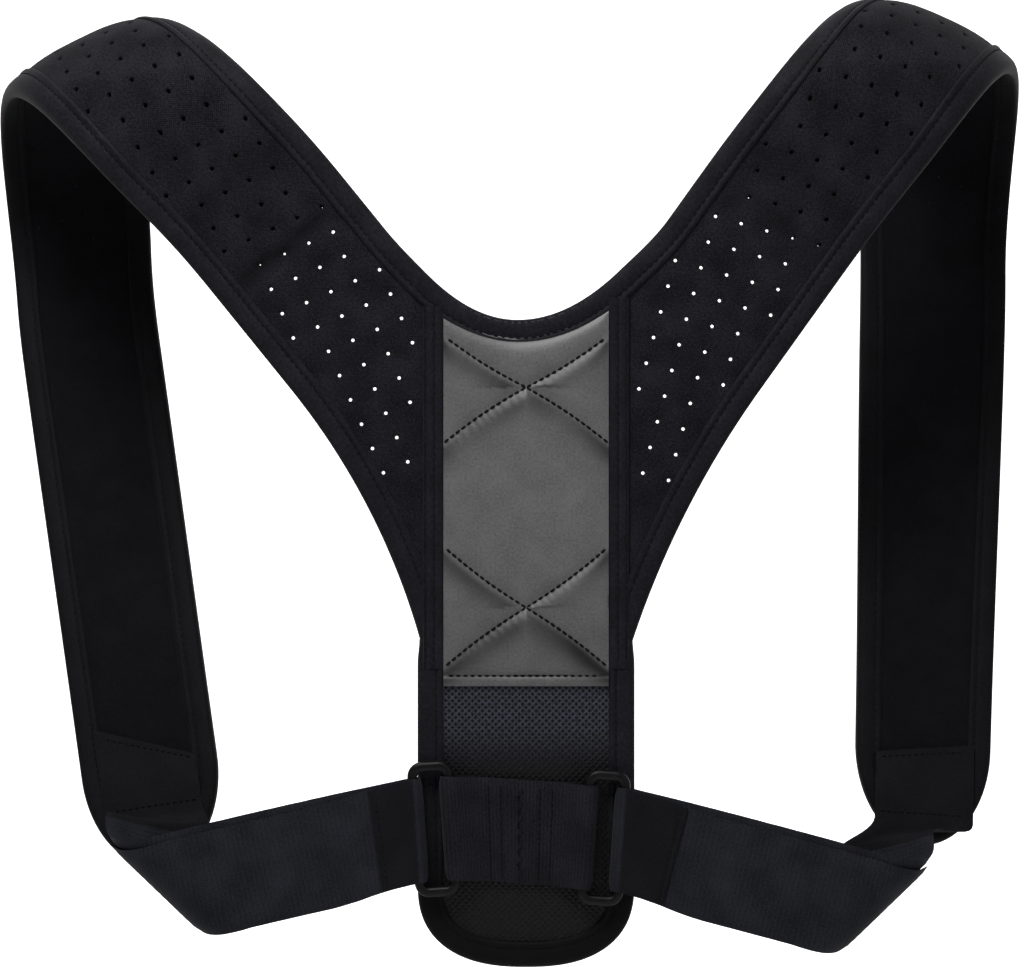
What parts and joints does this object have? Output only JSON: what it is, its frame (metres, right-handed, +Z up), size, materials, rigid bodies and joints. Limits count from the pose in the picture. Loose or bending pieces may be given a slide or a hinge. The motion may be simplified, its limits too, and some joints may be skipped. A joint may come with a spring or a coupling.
{
  "type": "posture corrector",
  "caption": "Soft back brace with a quilted spine panel, perforated shoulder pads that arch over the shoulders, and elastic straps through ring buckles.",
  "frame": {"origin": "on the spine panel's inner face, on the spine line, about halfway down the quilted patch", "axes": "+X towards the wearer's right, +Y towards the wearer's front, +Z up"},
  "size_m": [0.4979, 0.1467, 0.4437],
  "materials": {
    "panel_mesh": "woven nylon mesh over foam",
    "patch_leatherette": "satin coated fabric, quilted",
    "pad_fabric": "brushed knit over perforated foam",
    "binding_tape": "folded polyester tape",
    "keeper_webbing": "brushed loop webbing with stitch rows",
    "elastic_strap": "brushed loop elastic",
    "ring_plastic": "moulded acetal"
  },
  "bodies": {
    "root": {"back_panel": "panel_mesh", "back_patch": "patch_leatherette", "panel_binding": "binding_tape", "neck_binding": "binding_tape", "keeper_webbing": "keeper_webbing", "left_seam_tape": "binding_tape", "left_pad": "pad_fabric", "left_pad_binding": "binding_tape", "left_ring": "ring_plastic", "left_strap": "elastic_strap", "right_seam_tape": "binding_tape", "right_pad": "pad_fabric", "right_pad_binding": "binding_tape", "right_ring": "ring_plastic", "right_strap": "elastic_strap"}
  },
  "joints": []
}
